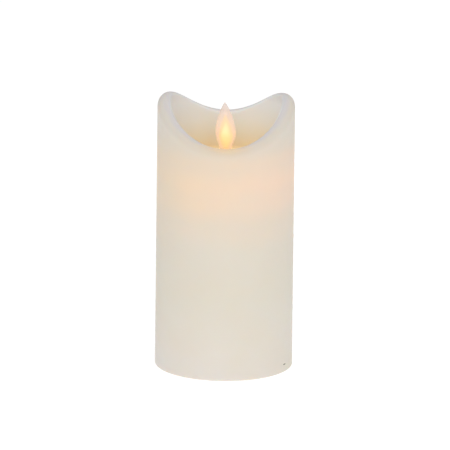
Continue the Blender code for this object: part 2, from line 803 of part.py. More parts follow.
def board_parts():
    """What is soldered to the driver board: the timer chip, its crystal, a capacitor and resistors."""
    seat = BOARD_TOP + GAP
    chip = block("timer_chip", (-2.5 * MM, -2 * MM, 0), (2.5 * MM, 2 * MM, 1.5 * MM), CERAMIC)
    chip.location = polar(11.4 * MM, 30, seat + 0.75 * MM)
    chip.rotation_euler = (0, 0, math.radians(120))
    foot = polar(11.7 * MM, 150, seat)
    rod("smoothing_capacitor", 2.5 * MM, foot, foot + Vector((0, 0, 6 * MM)), 20, CAN)
    crystal_z = seat + 1 * MM
    rod("timer_crystal", 1 * MM, (-12 * MM, -3.6 * MM, crystal_z), (-12 * MM, 2.4 * MM, crystal_z), 12, STEEL)
    for number, degrees in enumerate((60, 120, 232, 308), 1):
        resistor = block(f"chip_resistor_{number}", (-1 * MM, -0.6 * MM, 0), (1 * MM, 0.6 * MM, 0.6 * MM), CERAMIC)
        resistor.location = polar(10.6 * MM, degrees, seat + 0.3 * MM)
        resistor.rotation_euler = (0, 0, math.radians(degrees + 90))


# ---------------------------------------------------------------- flame and gimbal


def gimbal_ring():
    outline = [
        (RING_R, PIVOT_Z + RING_HALF),
        (RING_R, PIVOT_Z - RING_HALF),
        (RING_INNER_R, PIVOT_Z - RING_HALF),
        (RING_INNER_R, PIVOT_Z + RING_HALF),
    ]
    ring = turned("gimbal_ring", outline, 24, BLACK)
    for side in (-1, 1):
        near, far = side * (RING_INNER_R - MM), side * (RING_R + MM)
        cut(
            ring,
            hole("ring_pin_x", PIN_HOLE_R, (near, 0, PIVOT_Z), (far, 0, PIVOT_Z), 12),
            hole("ring_pin_y", PIN_HOLE_R, (0, near, PIVOT_Z), (0, far, PIVOT_Z), 12),
        )
    return ring


def gimbal_pins():
    """Two short pins on which the ring rocks in the neck, and a long one on which the flame sways in it."""
    near, far = RING_INNER_R + GAP, NECK_R - GAP
    rod("gimbal_pin_left", PIN_R, (-near, 0, PIVOT_Z), (-far, 0, PIVOT_Z), 12, STEEL)
    rod("gimbal_pin_right", PIN_R, (near, 0, PIVOT_Z), (far, 0, PIVOT_Z), 12, STEEL)
    reach = RING_R - GAP
    return rod("sway_pin", PIN_R, (0, -reach, PIVOT_Z), (0, reach, PIVOT_Z), 12, STEEL)


def flame_carrier():
    """The swinging stem: a spigot for the flame, the gimbal boss, and a long tail with the magnet's plate."""
    boss_low, boss_top = PIVOT_Z - BOSS_HALF, PIVOT_Z + BOSS_HALF
    plate_low, plate_top, plate_r = MAGNET_TOP + GAP, MAGNET_TOP + 1.5 * MM, MAGNET_R + 0.5 * MM
    outline = [
        (0, STEM_TOP),
        (STEM_R, STEM_TOP),
        (STEM_R, boss_top),
        (BOSS_R, boss_top),
        (BOSS_R, boss_low),
        (LOWER_STEM_R, boss_low),
        (LOWER_STEM_R, plate_top),
        (plate_r, plate_top),
        (plate_r, plate_low),
        (0, plate_low),
    ]
    carrier = turned("flame_carrier", outline, 16, IVORY, closed=False)
    cut(carrier, hole("carrier_pin_way", PIN_HOLE_R, (0, -5 * MM, PIVOT_Z), (0, 5 * MM, PIVOT_Z), 12))
    return carrier


def flame_radius(z):
    """The flame's outer radius above its neck: a swelling belly and a drawn-out point."""
    if z <= FLAME_BELLY_Z:
        swell = (z - FLAME_NECK_Z) / (FLAME_BELLY_Z - FLAME_NECK_Z)
        return FLAME_NECK_R + (FLAME_BELLY_R - FLAME_NECK_R) * (1 - math.cos(math.pi * swell)) / 2
    rise = (z - FLAME_BELLY_Z) / (FLAME_TIP - FLAME_BELLY_Z)
    return FLAME_BELLY_R * max(0.0, 1 - rise**1.55) ** 0.8


def flame_diffuser():
    """The hollow teardrop that the LED lights from below, open at the bottom where it grips the stem."""
    steps = 10
    heights = [FLAME_TIP - (FLAME_TIP - FLAME_NECK_Z) * i / steps for i in range(steps + 1)]
    outline = [(flame_radius(z), z) for z in heights]
    outline += [(FLAME_COLLAR_R, FLAME_LOW + 1.2 * MM), (FLAME_COLLAR_R, FLAME_LOW), (FLAME_BORE_R, FLAME_LOW)]
    hollow_low, hollow_top = FLAME_NECK_Z + 4 * MM, FLAME_TIP - 6 * MM
    for i in range(steps // 2 + 1):
        z = hollow_low + (hollow_top - hollow_low) * i / (steps // 2)
        outline.append((max(0.0, flame_radius(z) - FLAME_WALL), z))
    outline[-1] = (0, hollow_top)
    return turned("flame_diffuser", outline, 20, FLAME, closed=False)


def flame_led():
    """A 3 mm warm white LED that stands in its tube and shines up at the flame."""
    outline = arc((0, LED_LENGTH - LED_R), LED_R, 90, 0, 3)
    outline[0] = (0, LED_LENGTH)
    outline += [(LED_R, MM), (LED_FLANGE_R, MM), (LED_FLANGE_R, 0), (0, 0)]
    led = turned("flame_led", outline, 16, RESIN, closed=False)
    along = led_line(LED_TUBE_TOP) - led_line(LED_TUBE_LOW)
    led.rotation_euler = along.to_track_quat("Z", "Y").to_euler()
    led.location = led_line(LED_TUBE_LOW) - along.normalized() * (MM + GAP)
    return led


def swing_magnet():
    return rod("swing_magnet", MAGNET_R, (0, 0, MAGNET_LOW), (0, 0, MAGNET_TOP), 20, MAGNET)


def flame_bezel():
    """The trim ring on the wax floor, round the flame's hole."""
    low, high, soft = POOL_TOP + GAP, POOL_TOP + 1.6 * MM, 0.6 * MM
    outline = [
        (BEZEL_R - soft, high),
        (BEZEL_R, high - soft),
        (BEZEL_R, low),
        (BEZEL_INNER_R, low),
        (BEZEL_INNER_R, high - soft),
        (BEZEL_INNER_R + soft, high),
    ]
    bezel = turned("flame_bezel", outline, 32, IVORY)
    cut(bezel, hole("led_window", 2 * MM, led_line(low - MM), led_line(high + MM)))
    return bezel


def led_leads():
    """The two wires that feed the LED from the driver board."""
    top, foot = led_line(LED_TUBE_LOW - 2.1 * MM), BOARD_TOP + 2 * GAP
    for side, word in ((-1, "left"), (1, "right")):
        near, far = side * 0.6 * MM, side * 1.3 * MM
        points = [(near, top.y, top.z), (near, top.y, top.z - 3 * MM), (far, -12 * MM, 90 * MM)]
        points += [(far, -12.4 * MM, 80 * MM), (far, -11.6 * MM, foot)]
        wire(f"led_lead_{word}", smooth_route(points, 3.5 * MM), ENAMEL_R, COPPER)


# ---------------------------------------------------------------- leads


def lead(name, route_mm, material):
    points = [Vector(p) * MM for p in route_mm]
    return wire(name, smooth_route(points, 4 * MM), LEAD_R, material)


def supply_leads():
    """Cell to switch, switch to driver board, and cell to driver board."""
    lead(
        "lead_positive",
        [(8, 7.0, 61.6), (7.2, 4.5, 61.4), (4, -1, 61.3), (0.5, -6, 61.4), (-1.3, -9.6, 62.3), (-1.35, -10.5, 65), (-1.35, -10.5, 67.6)],
        RED,
    )
    lead(
        "lead_negative",
        [
            (-8, 9.1, 61.6),
            (-8.6, 11.6, 61.2),
            (-13.5, 14, 58.5),
            (-19.5, 9, 52),
            (-20.5, 0, 42),
            (-17, -9, 31),
            (-8.5, -14.5, 20),
            (-3.6, -18.5, 15),
            (-3, -20.5, 11.8),
        ],
        DARK,
    )
    lead(
        "lead_switched",
        [(3, -20.5, 11.8), (3.2, -19.4, 16), (3.4, -15.5, 28), (2.4, -12.6, 44), (1.5, -11, 57), (1.35, -10.5, 63), (1.35, -10.5, 67.6)],
        WHITE,
    )


# ---------------------------------------------------------------- assembly


def build_base():
    plate = base_plate()
    cut_base_plate(plate)
    door_pieces = [
        battery_door(),
        bridge_contact(),
        cone_spring("bridge_spring", CELL_X, DOOR_TOP + 1.35 * MM, RIGHT_CELL_LOW - GAP - SPRING_WIRE_R),
    ]
    hinge_pin()
    hang_on(axis_empty("door_axis", (0, HINGE_Y, HINGE_Z)), *door_pieces)
    hang_on(axis_empty("switch_axis", (-SWITCH_TRAVEL / 2, SWITCH_Y, SWITCH_LOW)), slide_switch())
    boss_places = [(side * SWITCH_BOSS_X, SWITCH_Y) for side in (-1, 1)]
    screws("switch_screws", boss_places, SWITCH_BOARD_TOP + GAP, 5.6 * MM)
    ear_places = [(side * EAR_X, CELL_Y) for side in (-1, 1)]
    screws("holder_screws", ear_places, PLATE_LOW + 1.4 * MM - 0.1 * MM, 9.8 * MM, 2.1 * MM, 1 * MM)


def build_cells():
    battery_holder()
    battery("battery_left", -CELL_X, LEFT_CELL_LOW, nub_up=False)
    battery("battery_right", CELL_X, RIGHT_CELL_LOW, nub_up=True)
    terminal("negative_terminal", -CELL_X)
    terminal("positive_terminal", CELL_X)
    left_top = LEFT_CELL_LOW + CELL_LENGTH
    cone_spring(
        "negative_spring",
        -CELL_X,
        TERMINAL_LOW - GAP - SPRING_WIRE_R,
        left_top + GAP + SPRING_WIRE_R,
    )


def build_module():
    module_cup()
    module_cap()
    driver_board()
    board_parts()
    coil()
    screws("mount_screws", [(s * PILLAR_X, CELL_Y) for s in (-1, 1)], CUP_FLOOR + GAP, 60.3 * MM)
    ear_places = [polar(CLAMP_EAR_REACH, a, 0).to_2d() for a in CLAMP_EAR_ANGLES]
    screws("module_screws", ear_places, CUP_TOP + 2.6 * MM, 89.4 * MM)
    post_places = [polar(POST_REACH, a, 0).to_2d() for a in POST_ANGLES]
    screws("board_screws", post_places, BOARD_TOP + GAP, 65.6 * MM, 1.5 * MM, 0.7 * MM)


def build_flame():
    sway_pin = gimbal_pins()
    rock = axis_empty("rock_axis", (0, 0, PIVOT_Z))
    sway = axis_empty("sway_axis", (0, 0, PIVOT_Z))
    hang_on(rock, gimbal_ring(), sway)
    hang_on(sway, sway_pin, flame_carrier(), swing_magnet(), flame_diffuser())
    flame_bezel()
    flame_led()
    led_leads()


def main():
    wax_shell()
    build_base()
    build_cells()
    build_module()
    build_flame()
    supply_leads()


main()
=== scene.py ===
"""Flameless LED pillar candle: its finished pieces over the assembled model.

The shape functions work in millimetres, and finish_piece turns them into metres.
"""

import json
import math

import bmesh
import bpy
from mathutils import Matrix, Vector, noise


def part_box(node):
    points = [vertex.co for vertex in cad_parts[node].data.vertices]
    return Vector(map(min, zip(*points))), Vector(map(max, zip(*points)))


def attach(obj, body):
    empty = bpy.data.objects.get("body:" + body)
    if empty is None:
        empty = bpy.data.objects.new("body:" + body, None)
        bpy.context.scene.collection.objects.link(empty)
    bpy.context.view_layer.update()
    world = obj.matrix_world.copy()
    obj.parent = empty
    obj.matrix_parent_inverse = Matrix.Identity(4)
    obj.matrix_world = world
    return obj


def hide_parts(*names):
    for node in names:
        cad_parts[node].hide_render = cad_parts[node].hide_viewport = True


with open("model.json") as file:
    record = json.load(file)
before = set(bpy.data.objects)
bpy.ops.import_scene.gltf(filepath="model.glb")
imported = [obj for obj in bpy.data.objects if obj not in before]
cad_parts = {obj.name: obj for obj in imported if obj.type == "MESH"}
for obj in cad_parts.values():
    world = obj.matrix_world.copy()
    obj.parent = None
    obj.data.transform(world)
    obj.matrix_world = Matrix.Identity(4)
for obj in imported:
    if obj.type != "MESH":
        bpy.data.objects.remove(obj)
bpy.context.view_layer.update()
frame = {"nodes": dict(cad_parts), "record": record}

MM = 0.001

# Wax pillar, in millimetres
WAX_HEIGHT = 149.3
FOOT_RADIUS = 37.5
RIM_RADIUS = 37.2
POOL_FLOOR = 108.0
RECESS_RADIUS = 30.1
POOL_HOLE_RADIUS = 13.6
FOOT_INNER_RADIUS = 32.6
SHOULDER = 4.5
INNER_LIP = 2.2
SEAM_TURN = math.radians(91)

# Flame
NECK_HEIGHT, NECK_RADIUS = 116.5, 2.5
BELLY_HEIGHT, BELLY_RADIUS = 129.5, 5.65
TIP_HEIGHT = 146.0

# Where the inner pieces stand
HOLDER_Y = 3.5
CELL_X = 8.0
SWITCH_Y = -20.5
BASE_UNDERSIDE = 0.8
DOOR_UNDERSIDE = 1.1

# ---------------------------------------------------------------- shape tools


def add_box(bm, low, high, round_off):
    """Adds a box between two corners, with its edges rounded off."""
    low, high = Vector(low), Vector(high)
    made = bmesh.ops.create_cube(bm, size=1)["verts"]
    bmesh.ops.scale(bm, vec=high - low, verts=made)
    bmesh.ops.translate(bm, vec=(low + high) / 2, verts=made)
    edges = list({e for v in made for e in v.link_edges})
    bmesh.ops.bevel(bm, geom=edges, offset=round_off, segments=2, profile=0.5, affect="EDGES", material=-1)


def add_turned(bm, outline, steps, centre=(0, 0), closed=True):
    """Adds a lathe shape from an outline of (radius, height) points."""
    chain = [bm.verts.new((max(r, 0), 0, z)) for r, z in outline]
    pairs = list(zip(chain, chain[1:]))
    if closed:
        pairs.append((chain[-1], chain[0]))
    edges = [bm.edges.new(pair) for pair in pairs]
    start = set(bm.verts) - set(chain)
    bmesh.ops.spin(
        bm,
        geom=chain + edges,
        cent=(0, 0, 0),
        axis=(0, 0, 1),
        angle=math.tau,
        steps=steps,
        use_merge=True,
        use_duplicate=False,
    )
    made = [v for v in bm.verts if v not in start]
    bmesh.ops.remove_doubles(bm, verts=made, dist=0.0005)
    made = [v for v in bm.verts if v not in start]
    bmesh.ops.recalc_face_normals(bm, faces=list({f for v in made for f in v.link_faces}))
    bmesh.ops.translate(bm, vec=(*centre, 0), verts=made)
    return made


def set_down(bm, verts, place, upside_down):
    """Turns a shape that hangs from height 0 over if asked, and moves it to its place."""
    if upside_down:
        bmesh.ops.rotate(bm, matrix=Matrix.Rotation(math.pi, 3, "X"), verts=verts)
    bmesh.ops.translate(bm, vec=place, verts=verts)


def arc(centre, radius, start, end, steps):
    """(radius, height) points along an arc, its angles in degrees."""
    angles = [math.radians(start + (end - start) * i / steps) for i in range(steps + 1)]
    return [(centre[0] + radius * math.cos(a), centre[1] + radius * math.sin(a)) for a in angles]


def line(a, b, steps):
    """Points from just after a up to b."""
    return [tuple(p + (q - p) * i / steps for p, q in zip(a, b)) for i in range(1, steps + 1)]


def finish_piece(name, bm, body, nodes, material, sharp=35):
    """Makes the object of a piece, in metres, and sets it on its body in place of its CAD nodes."""
    bmesh.ops.scale(bm, vec=(MM, MM, MM), verts=bm.verts)
    mesh = bpy.data.meshes.new(name)
    bm.to_mesh(mesh)
    bm.free()
    mesh.shade_smooth()
    mesh.set_sharp_from_angle(angle=math.radians(sharp))
    mesh.materials.append(material)
    obj = bpy.data.objects.new(name, mesh)
    bpy.context.scene.collection.objects.link(obj)
    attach(obj, body)
    if nodes:
        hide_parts(*nodes)
    return obj


# ---------------------------------------------------------------- finish tools


class Finish:
    """A procedural material that is built up from patterns on the piece's own coordinates."""

    def __init__(self, name, colour, roughness=0.5, metallic=0.0, **sockets):
        self.material = bpy.data.materials.new(name)
        self.material.use_nodes = True
        self.nodes = self.material.node_tree.nodes
        self.links = self.material.node_tree.links
        self.shader = self.nodes["Principled BSDF"]
        self.shader.inputs["Base Color"].default_value = (*colour, 1)
        self.shader.inputs["Roughness"].default_value = roughness
        self.shader.inputs["Metallic"].default_value = metallic
        for socket, value in sockets.items():
            self.shader.inputs[socket.replace("_", " ")].default_value = value
        self.place = self.nodes.new("ShaderNodeTexCoord").outputs["Object"]

    def put(self, node, socket, value):
        if hasattr(value, "links"):
            self.links.new(value, node.inputs[socket])
        elif value is not None:
            node.inputs[socket].default_value = value

    def to(self, socket, value):
        self.put(self.shader, socket, value)

    def math(self, operation, a, b=None):
        node = self.nodes.new("ShaderNodeMath")
        node.operation = operation
        for i, value in enumerate((a, b)):
            self.put(node, i, value)
        return node.outputs[0]

    def times(self, a, b):
        return self.math("MULTIPLY", a, b)

    def plus(self, a, b):
        return self.math("ADD", a, b)

    def axes(self):
        node = self.nodes.new("ShaderNodeSeparateXYZ")
        self.links.new(self.place, node.inputs[0])
        return node.outputs

    def stretched(self, scale, offset=(0, 0, 0)):
        node = self.nodes.new("ShaderNodeMapping")
        node.inputs["Scale"].default_value = scale
        node.inputs["Location"].default_value = offset
        self.links.new(self.place, node.inputs["Vector"])
        return node.outputs[0]

    def noise(self, scale, detail, place=None):
        node = self.nodes.new("ShaderNodeTexNoise")
        node.inputs["Scale"].default_value = scale
        node.inputs["Detail"].default_value = detail
        self.links.new(place or self.place, node.inputs["Vector"])
        return node.outputs["Fac"]

    def ramp(self, factor, stops, smooth=False):
        """Colours or greys by factor: stops are (position, colour or number)."""
        node = self.nodes.new("ShaderNodeValToRGB")
        node.color_ramp.interpolation = "EASE" if smooth else "LINEAR"
        elements = node.color_ramp.elements
        while len(elements) < len(stops):
            elements.new(1.0)
        for element, (position, value) in zip(elements, stops):
            element.position = position
            element.color = (value,) * 3 + (1,) if isinstance(value, (int, float)) else (*value, 1)
        self.put(node, "Fac", factor)
        return node.outputs["Color"]

    def range(self, value, low, high):
        """0 to 1 as value goes from low to high."""
        node = self.nodes.new("ShaderNodeMapRange")
        node.inputs["From Min"].default_value = low
        node.inputs["From Max"].default_value = high
        self.put(node, "Value", value)
        return node.outputs["Result"]

    def mix(self, factor, a, b):
        node = self.nodes.new("ShaderNodeMix")
        node.data_type = "RGBA"
        self.put(node, "Factor", factor)
        for i, value in ((6, a), (7, b)):
            self.put(node, i, value if hasattr(value, "links") else (*value, 1))
        return node.outputs[2]

    def bump(self, height, depth, strength=1.0, under=None):
        """Relief of the given depth in metres."""
        node = self.nodes.new("ShaderNodeBump")
        node.inputs["Strength"].default_value = strength
        node.inputs["Distance"].default_value = depth
        self.links.new(height, node.inputs["Height"])
        if under:
            self.links.new(under, node.inputs["Normal"])
        return node.outputs[0]


def linear(r, g, b):
    """A colour given as 0 to 255 display values, for a shader."""
    return tuple((c / 255 / 12.92) if c <= 10 else ((c / 255 + 0.055) / 1.055) ** 2.4 for c in (r, g, b))


# ---------------------------------------------------------------- finishes


# The wax by height, from 0 at the foot to 1 at 150 mm
OUTER_TONES = [
    (0.0, linear(235, 229, 221)),
    (0.1, linear(236, 229, 219)),
    (0.3, linear(232, 226, 212)),
    (0.55, linear(234, 225, 211)),
    (0.8, linear(232, 222, 206)),
    (1.0, linear(233, 228, 221)),
]
LIT_BAND = [(0.46, 0.0), (0.56, 0.25), (0.66, 0.8), (0.72, 1.0), (0.79, 0.65), (0.86, 0.15), (0.9, 0.0)]
# Painted light on the recess's wall by height: a warm tan-orange glow near the floor, paler and greyer up
# towards the rim
RECESS_TONES_AND_PAINTED_GLOW = [
    (0.72, linear(228, 200, 160)),
    (0.765, linear(229, 214, 185)),
    (0.82, linear(230, 225, 212)),
    (0.87, linear(231, 230, 226)),
    (0.93, linear(232, 233, 233)),
    (1.0, linear(232, 231, 230)),
]
WALL_LIGHT = [(0.70, 0.9), (0.76, 0.62), (0.81, 0.55), (0.86, 0.64), (0.95, 0.66), (0.99, 0.15)]
WALL_LIGHT_COLOURS = [
    (0.72, linear(255, 210, 140)),
    (0.78, linear(242, 224, 178)),
    (0.86, linear(228, 232, 218)),
    (0.93, linear(222, 232, 238)),
]
# How strongly the outside, the recess's wall and the middle of its front edge glow
SHELL_LIGHT, WALL_STRENGTH, CREST_LIGHT = 0.10, 0.22, 0.10
# The dark fleck low on the front's right: its middle and half its size, across and up, in metres
FLECK_CENTRE, FLECK_HALF = (0.0331, 0.0044), (0.00062, 0.00028)


def wax_finish():
    """Ivory paraffin: brushed outside, smooth in the recess, and lit warm from within round the flame."""
    wax = Finish("ivory_wax", linear(229, 221, 206), 0.42, Subsurface_Weight=0.25, Subsurface_Scale=0.003)
    wax.shader.inputs["Specular IOR Level"].default_value = 0.18
    wax.shader.inputs["Subsurface Radius"].default_value = (1.0, 0.6, 0.35)
    x, y, z = wax.axes()
    radius = wax.math("SQRT", wax.plus(wax.times(x, x), wax.times(y, y)))
    off_centre = wax.math("ABSOLUTE", x)
    height = wax.range(z, 0, 0.15)

    body = wax.ramp(height, OUTER_TONES)
    body = wax.mix(wax.range(wax.noise(38, 4), 0.3, 0.7), body, wax.mix(0.5, body, linear(232, 222, 204)))
    uneven = wax.range(wax.noise(20, 2, wax.stretched((1, 1, 1), offset=(0.31, 0.12, 0.2))), 0.3, 0.7)
    lit = wax.times(wax.ramp(height, LIT_BAND, True), wax.plus(wax.times(uneven, 0.6), 0.5))
    lit_tone = wax.mix(wax.range(x, -0.03, 0.03), linear(240, 215, 184), linear(247, 216, 194))
    outside = wax.mix(wax.times(lit, 0.7), body, lit_tone)

    above_floor = wax.range(z, 0.1025, 0.1045)
    inside = wax.times(wax.range(radius, 0.0335, 0.0315), above_floor)
    # Inside the recess the base colour is the ramp above, with its painted glow near the floor
    colour = wax.mix(inside, outside, wax.ramp(height, RECESS_TONES_AND_PAINTED_GLOW))
    # Painted shade: a greyer band over the rounded inner lip of the rim, above the floor
    lip_painted_shade = wax.times(wax.range(radius, 0.0305, 0.0313), wax.range(radius, 0.0352, 0.0335))
    colour = wax.mix(wax.times(wax.times(lip_painted_shade, above_floor), 0.75), colour, linear(226, 221, 220))
    # Painted glow: the middle of the front edge, above the floor, is coloured warm orange here and is also
    # given emission further down
    front_crest_glow = wax.times(wax.range(radius, 0.0373, 0.0340), wax.range(off_centre, 0.016, 0.002))
    front_crest_glow = wax.times(front_crest_glow, wax.times(wax.range(y, -0.026, -0.030), wax.range(z, 0.1045, 0.108)))
    colour = wax.mix(wax.times(front_crest_glow, 0.6), colour, linear(246, 210, 145))

    squares = []
    for place, centre, half in zip((x, z), FLECK_CENTRE, FLECK_HALF):
        squares.append(wax.math("POWER", wax.math("DIVIDE", wax.math("SUBTRACT", place, centre), half), 2))
    fleck = wax.range(wax.math("SQRT", wax.plus(*squares)), 1.15, 0.75)
    fleck = wax.times(fleck, wax.math("LESS_THAN", y, 0.0))
    wax.to("Base Color", wax.mix(fleck, colour, linear(70, 60, 50)))

    wall = wax.times(inside, wax.range(radius, 0.0313, 0.0304))
    sideways = wax.plus(wax.times(wax.range(x, -0.03, 0.03), 0.55), 0.68)
    spill = wax.times(wax.range(off_centre, 0.036, 0.004), wax.range(z, 0.1152, 0.1118))
    spill = wax.times(wax.times(spill, wax.range(radius, 0.0290, 0.0298)), 1.7)
    wall_light = wax.plus(wax.times(wax.ramp(height, WALL_LIGHT), sideways), spill)
    wall_light = wax.times(wax.times(wall_light, wall), WALL_STRENGTH)
    shell_light = wax.times(wax.times(lit, wax.math("SUBTRACT", 1.0, inside)), SHELL_LIGHT)
    wall_colour = wax.ramp(height, WALL_LIGHT_COLOURS)
    wax.to("Emission Color", wax.mix(inside, linear(255, 196, 140), wall_colour))
    wax.to("Emission Strength", wax.plus(shell_light, wax.plus(wax.times(front_crest_glow, CREST_LIGHT), wall_light)))

    relief = wax.bump(wax.noise(1.0, 3, wax.stretched((60, 60, 2600))), 0.00006, 0.5)
    relief = wax.bump(wax.noise(900, 3), 0.00003, 0.5, relief)
    wax.to("Normal", wax.bump(wax.noise(120, 2), 0.0003, 0.4, relief))
    wax.to("Roughness", wax.range(wax.noise(300, 3), -0.6, 1.6))
    return wax.material


def glow_finish(name, see_through, stops, colour, strength, low=0.111, high=0.147, roughness=0.4):
    """Frosted plastic or resin that glows by height and lets part of what is behind it show."""
    glow = Finish(name, colour, roughness)
    height = glow.range(glow.axes()["Z"], low, high)
    cloud = glow.range(glow.noise(260, 2), 0.3, 0.7)
    glow.to("Base Color", glow.mix(cloud, colour, tuple(c * 0.96 for c in colour)))
    glow.to("Emission Color", glow.ramp(height, stops))
    glow.to("Emission Strength", glow.ramp(height, strength))
    glow.shader.inputs["Alpha"].default_value = 1 - see_through
    glow.to("Normal", glow.bump(glow.noise(1500, 2), 0.00004, 0.4))
    return glow.material


def plastic_finish(name, colour, roughness=0.45):
    """Moulded plastic with a fine spark-eroded texture."""
    plastic = Finish(name, colour, roughness)
    cloud = plastic.range(plastic.noise(90, 3), 0.3, 0.7)
    plastic.to("Base Color", plastic.mix(cloud, colour, tuple(c * 0.95 for c in colour)))
    plastic.to("Roughness", plastic.range(plastic.noise(700, 3), roughness - 1.1, roughness + 1.2))
    plastic.to("Normal", plastic.bump(plastic.noise(2600, 3), 0.00003, 0.6))
    return plastic.material


def metal_finish(name, colour, roughness=0.3, along=(200, 200, 2500)):
    """Drawn or plated metal with fine lines along one way."""
    metal = Finish(name, colour, roughness, 1.0)
    lines = metal.noise(1.0, 3, metal.stretched(along))
    cloud = metal.range(metal.noise(150, 3), 0.3, 0.7)
    metal.to("Base Color", metal.mix(cloud, colour, tuple(c * 0.88 for c in colour)))
    metal.to("Roughness", metal.plus(metal.times(lines, 0.2), roughness - 0.1))
    metal.to("Normal", metal.bump(lines, 0.00002, 0.4))
    return metal.material


def board_finish():
    """Green solder mask over copper tracks."""
    board = Finish("solder_mask", (0.03, 0.2, 0.08), 0.35)
    tracks = board.nodes.new("ShaderNodeTexVoronoi")
    tracks.feature = "DISTANCE_TO_EDGE"
    tracks.inputs["Scale"].default_value = 330
    tracks.inputs["Randomness"].default_value = 0.35
    board.links.new(board.place, tracks.inputs["Vector"])
    track = board.range(tracks.outputs["Distance"], 0.09, 0.06)
    board.to("Base Color", board.mix(track, (0.018, 0.13, 0.05), (0.05, 0.30, 0.12)))
    board.to("Normal", board.bump(track, 0.00004, 0.6))
    board.to("Roughness", board.range(board.noise(600, 2), -0.4, 1.3))
    return board.material


def cell_finish():
    """A plain cell jacket in two colours."""
    cell = Finish("cell_jacket", (0.1, 0.12, 0.16), 0.3, 0.7)
    low = cell.range(cell.axes()["Z"], 0.0185, 0.0183)
    cell.to("Base Color", cell.mix(low, (0.045, 0.05, 0.07), (0.62, 0.33, 0.12)))
    cell.to("Roughness", cell.range(cell.noise(500, 2), -0.7, 1.4))
    cell.to("Normal", cell.bump(cell.noise(1200, 2), 0.00002, 0.4))
    return cell.material


# ---------------------------------------------------------------- wax pillar


def rim_height(turn):
    """The rim's height at an angle counted from the front."""
    return WAX_HEIGHT - 9.7 - 4.7 * math.cos(turn) - 8.55 * math.cos(2 * turn) + 1.5 * math.cos(3 * turn)


def shape_wax(point):
    """Lowers a point of the level pillar to the melted rim and adds the hand-finished unevenness."""
    x, y, z = point
    radius = math.hypot(x, y)
    turn = math.atan2(x, -y)
    out = Vector((x, y, 0)) / radius if radius else Vector((0, 0, 0))
    level = POOL_FLOOR + 6
    if z > level:
        rim = rim_height(turn)
        start = WAX_HEIGHT - SHOULDER if radius > 32.35 else WAX_HEIGHT - INNER_LIP
        if z >= start:
            waver = noise.noise(Vector((math.sin(turn) * 2.2, math.cos(turn) * 2.2, 3.1)))
            z -= WAX_HEIGHT - rim + 0.12 + 0.2 * waver
        else:
            top = start - (WAX_HEIGHT - rim) - 0.12
            z = level + (z - level) * (top - level) / (start - level)
    inside = radius < 33 and z > 107
    ripple = noise.noise(Vector((x * 0.11, y * 0.11, z * 0.05)))
    if inside:
        return Vector((x, y, z)) + out * (0.25 * ripple - 0.1) * (radius > 20)
    if radius > 33 and z > 2:
        dent = 0.03 + 0.03 * ripple
        seam = max(0.0, 1 - abs(turn - SEAM_TURN) / math.radians(5)) * (8 < z < 118)
        if seam:
            chip = noise.noise(Vector((5.0, z * 0.42, 1.0))) + 0.6 * noise.noise(Vector((9.0, z * 1.1, 4.0)))
            dent += seam * max(0.0, chip + 0.15) * 1.3
        return Vector((x, y, z)) - out * dent
    return Vector((x, y, z))


def wax_pillar(finish):
    """The pillar, turned level and then shaped: foot, outside, rim, recess, floor and hollow inside."""
    foot_round, corner, floor_under = 0.6, 3, POOL_FLOOR - 4
    outline = [(FOOT_INNER_RADIUS, 0), (34.8, 0), (FOOT_RADIUS - foot_round, 0)]
    outline += arc((FOOT_RADIUS - foot_round, foot_round), foot_round, -90, 0, 4)[1:]
    outline += line((FOOT_RADIUS, foot_round), (RIM_RADIUS, WAX_HEIGHT - SHOULDER), 120)
    outline += arc((RIM_RADIUS - SHOULDER, WAX_HEIGHT - SHOULDER), SHOULDER, 0, 90, 10)[1:]
    outline += arc((RECESS_RADIUS + INNER_LIP, WAX_HEIGHT - INNER_LIP), INNER_LIP, 90, 180, 7)
    outline += line((RECESS_RADIUS, WAX_HEIGHT - INNER_LIP), (RECESS_RADIUS, POOL_FLOOR + corner), 24)
    outline += arc((RECESS_RADIUS - corner, POOL_FLOOR + corner), corner, 0, -90, 5)[1:]
    outline += line((RECESS_RADIUS - corner, POOL_FLOOR), (POOL_HOLE_RADIUS + 0.2, POOL_FLOOR), 8)
    outline += [(POOL_HOLE_RADIUS, POOL_FLOOR - 0.2), (POOL_HOLE_RADIUS, floor_under)]
    outline += line((POOL_HOLE_RADIUS, floor_under), (32.0, floor_under), 4)
    outline += line((32.0, floor_under), (FOOT_INNER_RADIUS, 0), 12)[:-1]
    bm = bmesh.new()
    for vert in add_turned(bm, outline, 216):
        vert.co = shape_wax(vert.co)
    finish_piece("wax_pillar", bm, "candle", ["wax_shell"], finish, sharp=50)


# ---------------------------------------------------------------- flame


def flame_radius(z):
    """The teardrop's radius: a swelling up to the belly, and a long taper to the tip."""
    if z <= BELLY_HEIGHT:
        swell = max(0.0, (z - NECK_HEIGHT) / (BELLY_HEIGHT - NECK_HEIGHT))
        return NECK_RADIUS + (BELLY_RADIUS - NECK_RADIUS) * ((1 - math.cos(math.pi * swell)) / 2) ** 1.08
    rise = min(1.0, (z - BELLY_HEIGHT) / (TIP_HEIGHT - BELLY_HEIGHT))
    return BELLY_RADIUS * max(0.0, 1 - rise**1.55) ** 0.8


def add_leant(bm, outline):
    """Adds a turned flame shape, a little flatter on its right and leaning left at its tip."""
    for vert in add_turned(bm, outline, 48, closed=False):
        lean = max(0.0, (vert.co.z - 122) / 24)
        vert.co.x = min(vert.co.x, vert.co.x * 0.955) - 0.75 * lean**1.6


def flame_layer(name, shrink, low, top_cut, finish):
    """A glowing teardrop inside the flame."""
    rows, high = 44, TIP_HEIGHT - top_cut
    outline = [(0, low)]
    for i in range(rows):
        z = low + (high - low) * i / rows
        outline.append((max(0.0, flame_radius(z + top_cut * i / rows) - shrink), z))
    bm = bmesh.new()
    add_leant(bm, [*outline, (0, high)])
    finish_piece(name, bm, "flame", [], finish, sharp=60)


